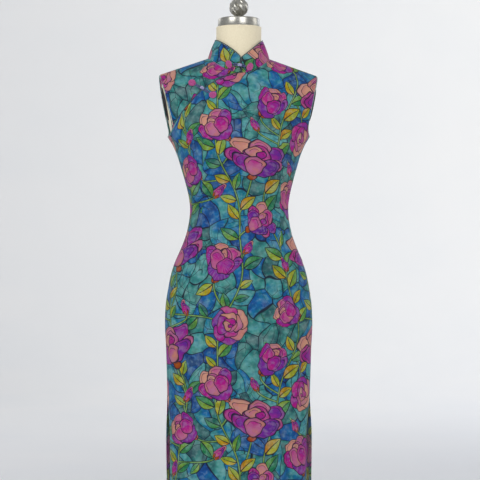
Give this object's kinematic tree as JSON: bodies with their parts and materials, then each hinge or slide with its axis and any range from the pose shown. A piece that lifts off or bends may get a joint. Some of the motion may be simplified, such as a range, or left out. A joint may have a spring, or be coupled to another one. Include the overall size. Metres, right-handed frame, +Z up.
{
  "type": "cheongsam dress on a dress form",
  "caption": "Sleeveless fitted cheongsam with a stand collar, slanted front opening and side slits, worn by a limbless dress form on a round stand.",
  "frame": {"origin": "centre of the stand's underside, on the floor", "axes": "+Z up, the dress's front faces -Y, the wearer's right is at -X"},
  "size_m": [0.3862, 0.35, 1.5331],
  "materials": {
    "print_fabric": "satin",
    "piping_fabric": "satin",
    "coil_fabric": "satin",
    "knot_fabric": "satin",
    "form_linen": "matte",
    "arm_plate_plastic": "matte",
    "polished_metal": "polished"
  },
  "bodies": {
    "root": {"front_panel": "print_fabric", "back_panel": "print_fabric", "under_flap": "print_fabric", "collar": "print_fabric", "collar_piping": "piping_fabric", "opening_piping": "piping_fabric", "armhole_piping_left": "piping_fabric", "armhole_piping_right": "piping_fabric", "neck_frog_coil_left": "coil_fabric", "neck_frog_coil_right": "coil_fabric", "opening_frog_coil_left": "coil_fabric", "opening_frog_coil_right": "coil_fabric", "neck_frog_knot": "knot_fabric", "opening_frog_knot": "knot_fabric", "form_torso": "form_linen", "arm_plate_left": "arm_plate_plastic", "arm_plate_right": "arm_plate_plastic", "neck_cap": "polished_metal", "finial": "polished_metal", "stand_pole": "polished_metal", "stand_base": "polished_metal"}
  },
  "joints": []
}
